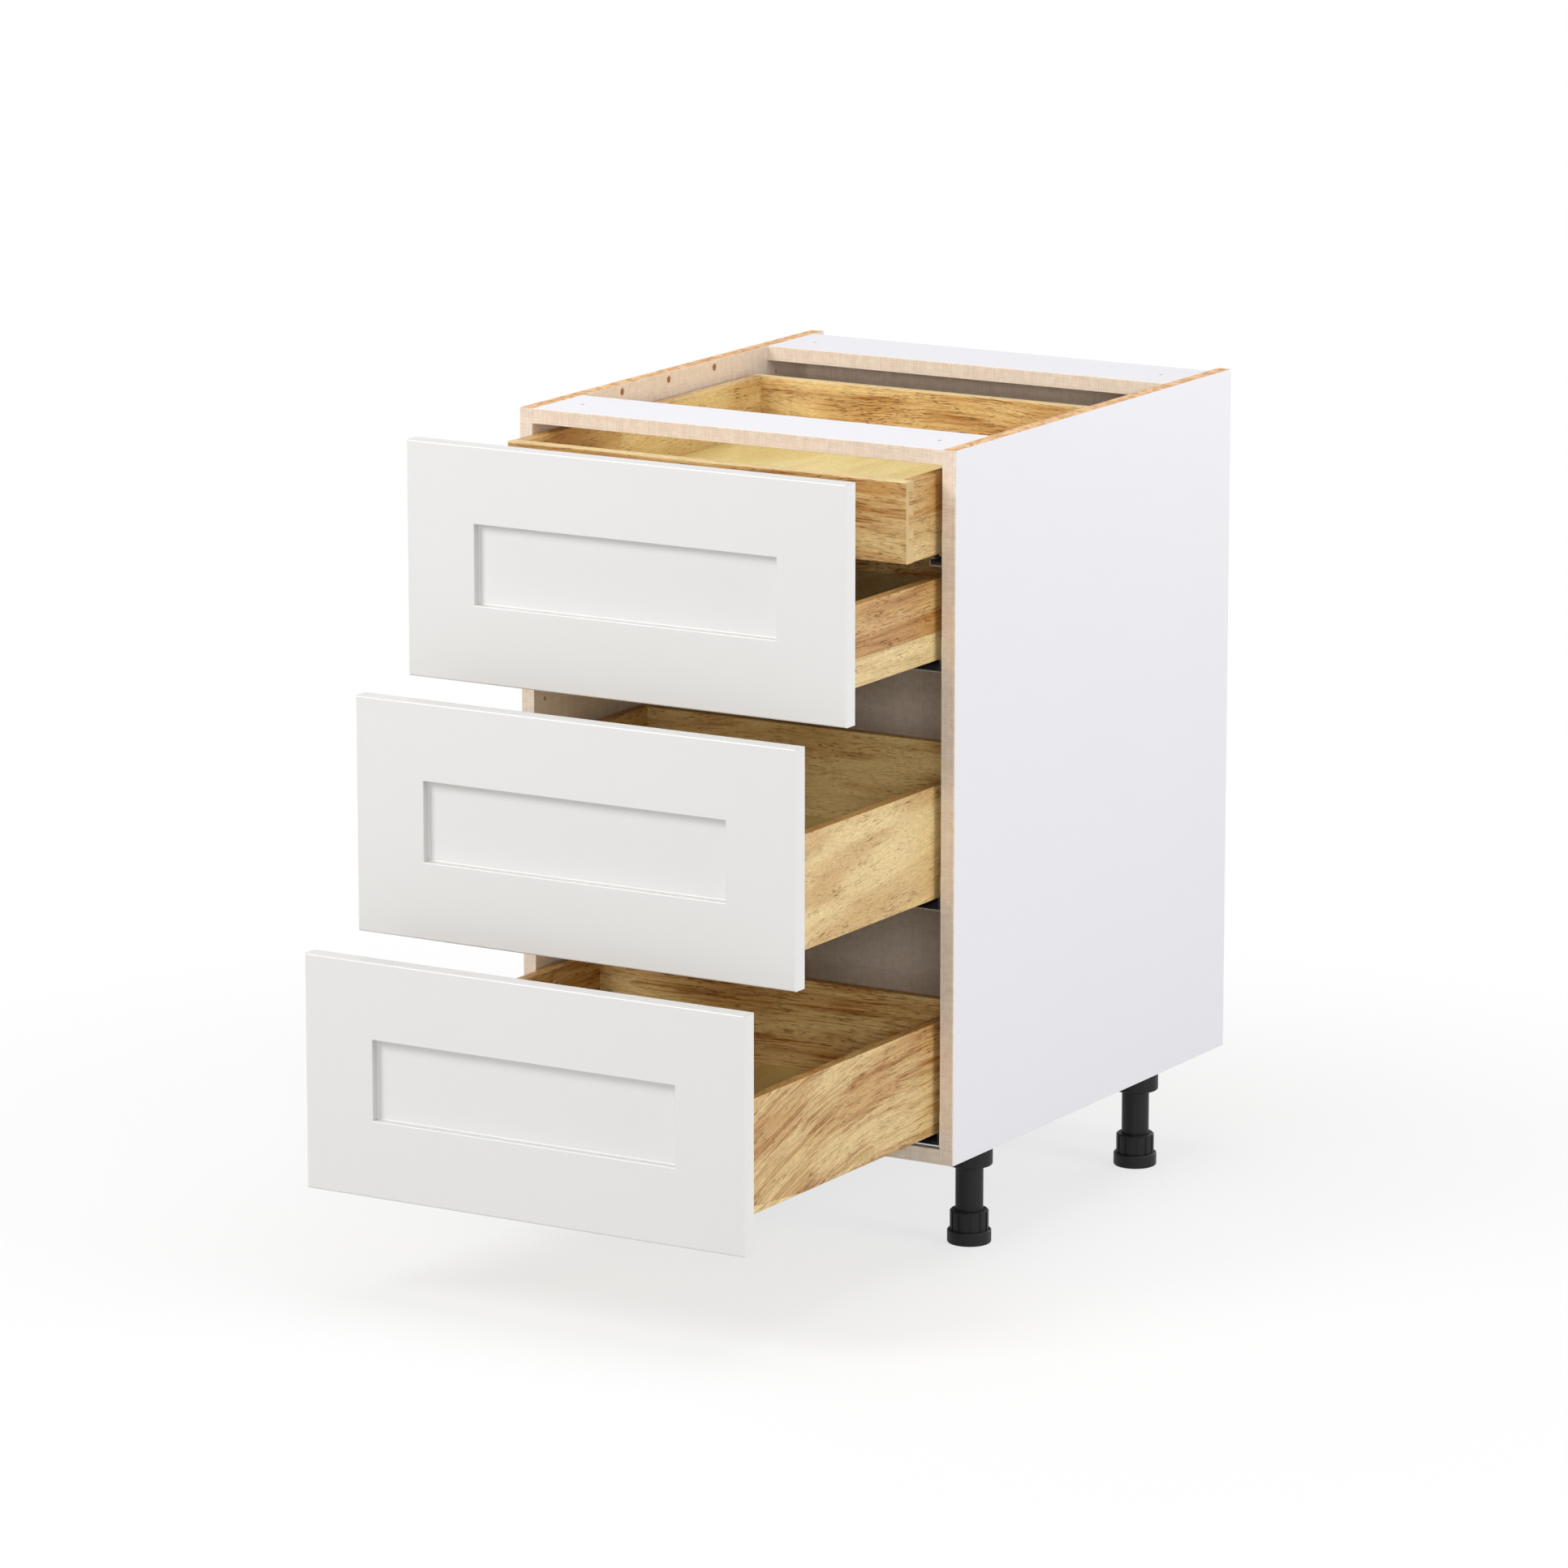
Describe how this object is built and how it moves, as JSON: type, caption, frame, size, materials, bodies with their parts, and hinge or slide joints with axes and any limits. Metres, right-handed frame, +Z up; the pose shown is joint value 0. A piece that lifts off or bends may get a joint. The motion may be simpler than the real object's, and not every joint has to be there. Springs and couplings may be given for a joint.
{
  "type": "base cabinet with drawers",
  "caption": "Frameless kitchen base cabinet on adjustable legs, with sliding hardwood drawers behind white frame-and-panel fronts and a shallow inner drawer.",
  "frame": {"origin": "on the floor, under the middle of the box of the cabinet with its drawers open as stored; 94.55 mm behind the carcass's front edge", "axes": "+X to the right seen from the front, +Y from the fronts towards the wall, +Z up"},
  "size_m": [0.5334, 1.03, 0.8763],
  "materials": {
    "melamine_board": "white melamine outside, linen-pattern melamine inside, raw particleboard edges",
    "edge_band": "linen-pattern edge band",
    "back_board": "linen-pattern hardboard back",
    "front_lacquer": "warm white satin lacquer on fibreboard",
    "drawer_hardwood": "clear-lacquered light hardwood with short dark pores",
    "drawer_plywood": "pale clear-lacquered plywood",
    "dowel_wood": "beech, plain",
    "zinc_steel": "zinc-plated folded steel",
    "screw_steel": "zinc-plated steel",
    "black_plastic": "black moulded plastic, fine matt texture",
    "clip_plastic": "dark grey moulded plastic"
  },
  "bodies": {
    "carcass": {"left_side_panel": "melamine_board", "right_side_panel": "melamine_board", "bottom_panel": "melamine_board", "front_top_rail": "melamine_board", "rear_top_rail": "melamine_board", "back_panel": "back_board", "side_edge_bands": "edge_band", "rail_edge_bands": "edge_band", "bottom_edge_band": "edge_band", "carcass_dowels": "dowel_wood", "cabinet_runner_members": "zinc_steel", "cabinet_runner_screws": "screw_steel", "leg_sockets": "black_plastic", "leg_tubes": "black_plastic", "leg_socket_screws": "screw_steel"},
    "inner_drawer": {"inner_drawer_box_front": "drawer_hardwood", "inner_drawer_box_back": "drawer_hardwood", "inner_drawer_left_side": "drawer_hardwood", "inner_drawer_right_side": "drawer_hardwood", "inner_drawer_bottom": "drawer_plywood", "inner_drawer_runner_members": "zinc_steel", "inner_drawer_locking_clips": "clip_plastic", "inner_drawer_screws": "screw_steel"},
    "inner_drawer_middle_runners": {"inner_drawer_middle_members": "zinc_steel"},
    "bottom_drawer": {"bottom_drawer_box_front": "drawer_hardwood", "bottom_drawer_box_back": "drawer_hardwood", "bottom_drawer_left_side": "drawer_hardwood", "bottom_drawer_right_side": "drawer_hardwood", "bottom_drawer_bottom": "drawer_plywood", "bottom_drawer_runner_members": "zinc_steel", "bottom_drawer_locking_clips": "clip_plastic", "bottom_drawer_screws": "screw_steel", "bottom_drawer_front": "front_lacquer"},
    "bottom_drawer_middle_runners": {"bottom_drawer_middle_members": "zinc_steel"},
    "middle_drawer": {"middle_drawer_box_front": "drawer_hardwood", "middle_drawer_box_back": "drawer_hardwood", "middle_drawer_left_side": "drawer_hardwood", "middle_drawer_right_side": "drawer_hardwood", "middle_drawer_bottom": "drawer_plywood", "middle_drawer_runner_members": "zinc_steel", "middle_drawer_locking_clips": "clip_plastic", "middle_drawer_screws": "screw_steel", "middle_drawer_front": "front_lacquer"},
    "middle_drawer_middle_runners": {"middle_drawer_middle_members": "zinc_steel"},
    "top_drawer": {"top_drawer_box_front": "drawer_hardwood", "top_drawer_box_back": "drawer_hardwood", "top_drawer_left_side": "drawer_hardwood", "top_drawer_right_side": "drawer_hardwood", "top_drawer_bottom": "drawer_plywood", "top_drawer_runner_members": "zinc_steel", "top_drawer_locking_clips": "clip_plastic", "top_drawer_screws": "screw_steel", "top_drawer_front": "front_lacquer"},
    "top_drawer_middle_runners": {"top_drawer_middle_members": "zinc_steel"},
    "foot_front_left": {"foot_front_left": "black_plastic"},
    "foot_front_right": {"foot_front_right": "black_plastic"},
    "foot_rear_left": {"foot_rear_left": "black_plastic"},
    "foot_rear_right": {"foot_rear_right": "black_plastic"}
  },
  "joints": [
    {"name": "top_drawer_slide", "type": "slide", "parent": "carcass", "child": "top_drawer", "axis": [0, -1, 0], "range_m": [-0.2, 0.3]},
    {"name": "middle_drawer_slide", "type": "slide", "parent": "carcass", "child": "middle_drawer", "axis": [0, -1, 0], "range_m": [-0.3, 0.2]},
    {"name": "bottom_drawer_slide", "type": "slide", "parent": "carcass", "child": "bottom_drawer", "axis": [0, -1, 0], "range_m": [-0.4, 0.1]},
    {"name": "inner_drawer_slide", "type": "slide", "parent": "carcass", "child": "inner_drawer", "axis": [0, -1, 0], "range_m": [-0.1, 0.4]},
    {"name": "top_drawer_runner_slide", "type": "slide", "parent": "carcass", "child": "top_drawer_middle_runners", "axis": [0, -1, 0], "range_m": [-0.1, 0.15]},
    {"name": "middle_drawer_runner_slide", "type": "slide", "parent": "carcass", "child": "middle_drawer_middle_runners", "axis": [0, -1, 0], "range_m": [-0.15, 0.1]},
    {"name": "bottom_drawer_runner_slide", "type": "slide", "parent": "carcass", "child": "bottom_drawer_middle_runners", "axis": [0, -1, 0], "range_m": [-0.2, 0.05]},
    {"name": "inner_drawer_runner_slide", "type": "slide", "parent": "carcass", "child": "inner_drawer_middle_runners", "axis": [0, -1, 0], "range_m": [-0.05, 0.2]},
    {"name": "foot_front_left_thread", "type": "slide", "parent": "carcass", "child": "foot_front_left", "axis": [0, 0, -1], "range_m": [-0.01, 0.015]},
    {"name": "foot_front_right_thread", "type": "slide", "parent": "carcass", "child": "foot_front_right", "axis": [0, 0, -1], "range_m": [-0.01, 0.015]},
    {"name": "foot_rear_left_thread", "type": "slide", "parent": "carcass", "child": "foot_rear_left", "axis": [0, 0, -1], "range_m": [-0.01, 0.015]},
    {"name": "foot_rear_right_thread", "type": "slide", "parent": "carcass", "child": "foot_rear_right", "axis": [0, 0, -1], "range_m": [-0.01, 0.015]}
  ],
  "couplings": [
    {"joint": "top_drawer_runner_slide", "follows": "top_drawer_slide", "ratio": 0.5},
    {"joint": "middle_drawer_runner_slide", "follows": "middle_drawer_slide", "ratio": 0.5},
    {"joint": "bottom_drawer_runner_slide", "follows": "bottom_drawer_slide", "ratio": 0.5},
    {"joint": "inner_drawer_slide", "follows": "top_drawer_slide", "ratio": 0.5},
    {"joint": "inner_drawer_runner_slide", "follows": "top_drawer_slide", "ratio": 0.25}
  ]
}
